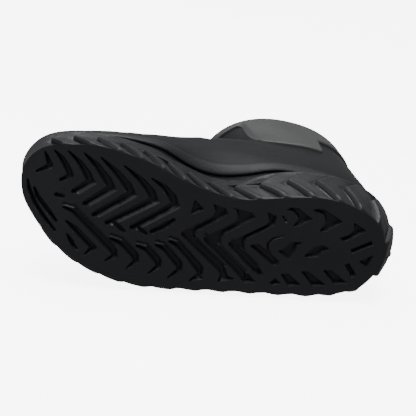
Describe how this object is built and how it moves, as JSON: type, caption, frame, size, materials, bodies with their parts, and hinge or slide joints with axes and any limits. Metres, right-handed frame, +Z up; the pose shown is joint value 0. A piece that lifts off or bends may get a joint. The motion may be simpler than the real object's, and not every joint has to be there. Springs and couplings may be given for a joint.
{
  "type": "rubber boot",
  "caption": "Ankle-high black rubber boot for the right foot with raised collar, pull grips, rand and thick cleated outsole, lying on its outer side.",
  "frame": {"origin": "centre of the bounding box at its lowest face, on the floor under the boot that lies on its outer side", "axes": "+X from toe to heel, +Y from tread to collar rim, +Z up, which is towards the inner side of the foot"},
  "size_m": [0.306, 0.1548, 0.122],
  "materials": {
    "sole_rubber": "matt black moulded",
    "upper_rubber": "matt, faintly bloomed",
    "rand_rubber": "matt, faintly bloomed",
    "collar_rubber": "matt, faintly bloomed",
    "bed_foam": "dark cloth on foam"
  },
  "bodies": {
    "root": {"outsole": "sole_rubber", "upper": "upper_rubber", "rand": "rand_rubber", "collar_band": "collar_rubber", "insole": "bed_foam"}
  },
  "joints": []
}
